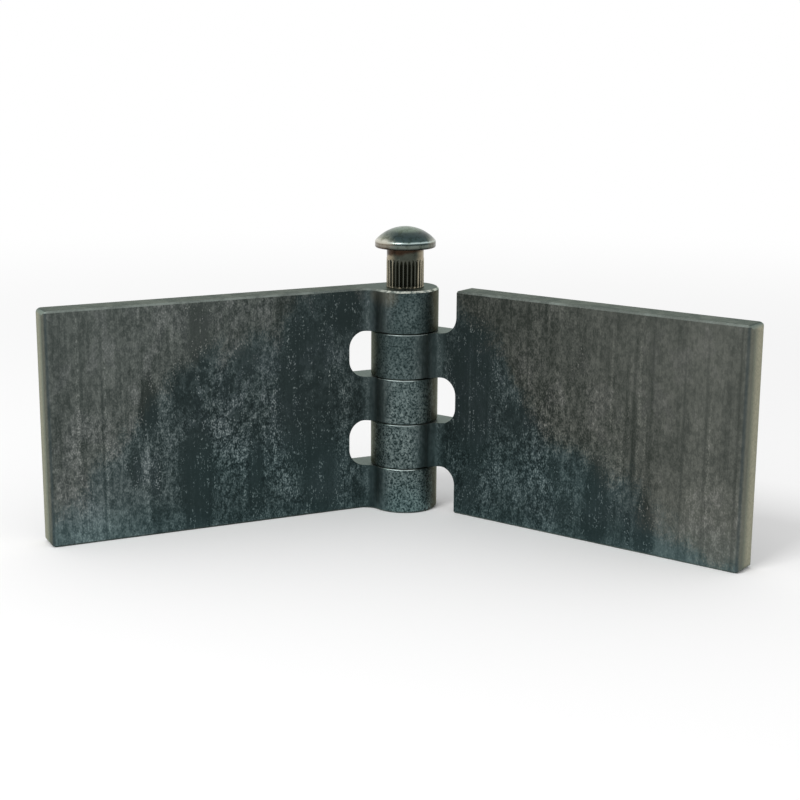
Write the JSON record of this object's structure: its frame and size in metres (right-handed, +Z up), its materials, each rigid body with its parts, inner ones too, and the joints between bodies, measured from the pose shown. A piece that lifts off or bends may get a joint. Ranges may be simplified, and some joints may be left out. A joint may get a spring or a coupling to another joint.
{
  "type": "trailer door hinge",
  "caption": "Weld-on steel hinge: two flat leaves with interlocking barrel knuckles, part folded, on a domed-head pin whose splined neck stands drawn up above the barrel.",
  "frame": {"origin": "on the hinge's swing axis, in the plane of the lower cut faces", "axes": "+Z up along the pin; the three-knuckle leaf runs along -X with its flat weld face towards +Y; the two-knuckle leaf is folded towards -Y"},
  "size_m": [0.1905, 0.1196, 0.0965],
  "materials": {
    "mill_scale_steel": "dark mill scale with fine drawing streaks",
    "pin_steel": "oiled bright steel, half glossy"
  },
  "bodies": {
    "three_knuckle_leaf": {"leaf_three_knuckle": "mill_scale_steel"},
    "two_knuckle_leaf": {"leaf_two_knuckle": "mill_scale_steel"},
    "pin": {"knurled_pin": "pin_steel"}
  },
  "joints": [
    {"name": "leaf_swing", "type": "hinge", "parent": "three_knuckle_leaf", "child": "two_knuckle_leaf", "pos_m": [0, 0, 0], "axis": [0, 0, 1], "range_deg": [-119, 168]},
    {"name": "pin_lift", "type": "slide", "parent": "three_knuckle_leaf", "child": "pin", "axis": [0, 0, 1], "range_m": [0, 0.0635]}
  ]
}
